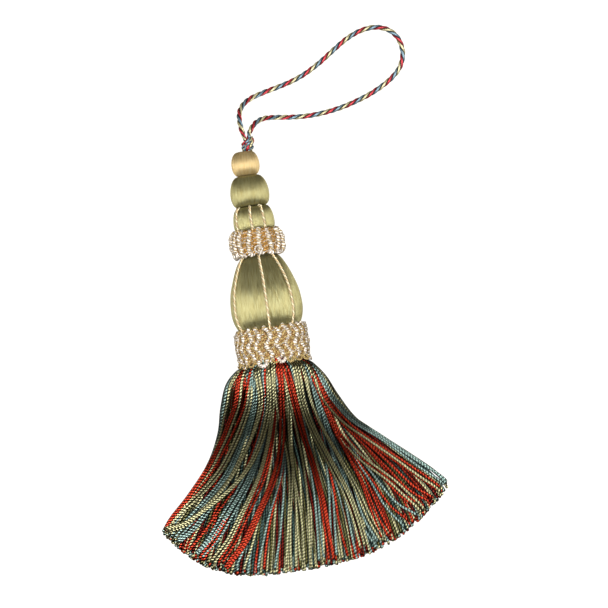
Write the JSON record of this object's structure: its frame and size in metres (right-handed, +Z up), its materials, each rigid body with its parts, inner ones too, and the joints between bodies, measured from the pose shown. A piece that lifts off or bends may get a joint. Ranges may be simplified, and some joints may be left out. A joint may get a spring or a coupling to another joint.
{
  "type": "tassel",
  "caption": "Tassel with a fringe skirt, a turned and floss-covered head with two looped ruffs, and a twisted cord loop to hang it by, lying flat.",
  "frame": {"origin": "on the table, under the middle of the lower ruff", "axes": "+Y along the tassel towards its hanging loop, +Z up from the table, +X to the side on which the loop lies"},
  "size_m": [0.1114, 0.1905, 0.027],
  "materials": {
    "hanging_cord": "three-ply twisted rayon cord in red, slate blue and cream green",
    "cord_knot": "the same three-ply cord, knotted",
    "gold_floss": "satin gold floss, laid lengthwise",
    "olive_floss": "satin olive floss, laid lengthwise",
    "green_floss": "satin light green floss, laid lengthwise",
    "laid_cord": "fine two-ply cord in cream and gold",
    "gimp": "looped gimp in off-white and tan",
    "skirt_cords": "two-ply twisted rayon cords in red, slate blue and cream green"
  },
  "bodies": {
    "root": {"hanging_cord": "hanging_cord", "cord_knot": "cord_knot", "ball_small": "gold_floss", "ball_large": "olive_floss", "bell": "green_floss", "laid_cord_1": "laid_cord", "laid_cord_2": "laid_cord", "laid_cord_3": "laid_cord", "laid_cord_4": "laid_cord", "laid_cord_5": "laid_cord", "ruff_upper": "gimp", "ruff_lower": "gimp", "skirt": "skirt_cords"}
  },
  "joints": []
}
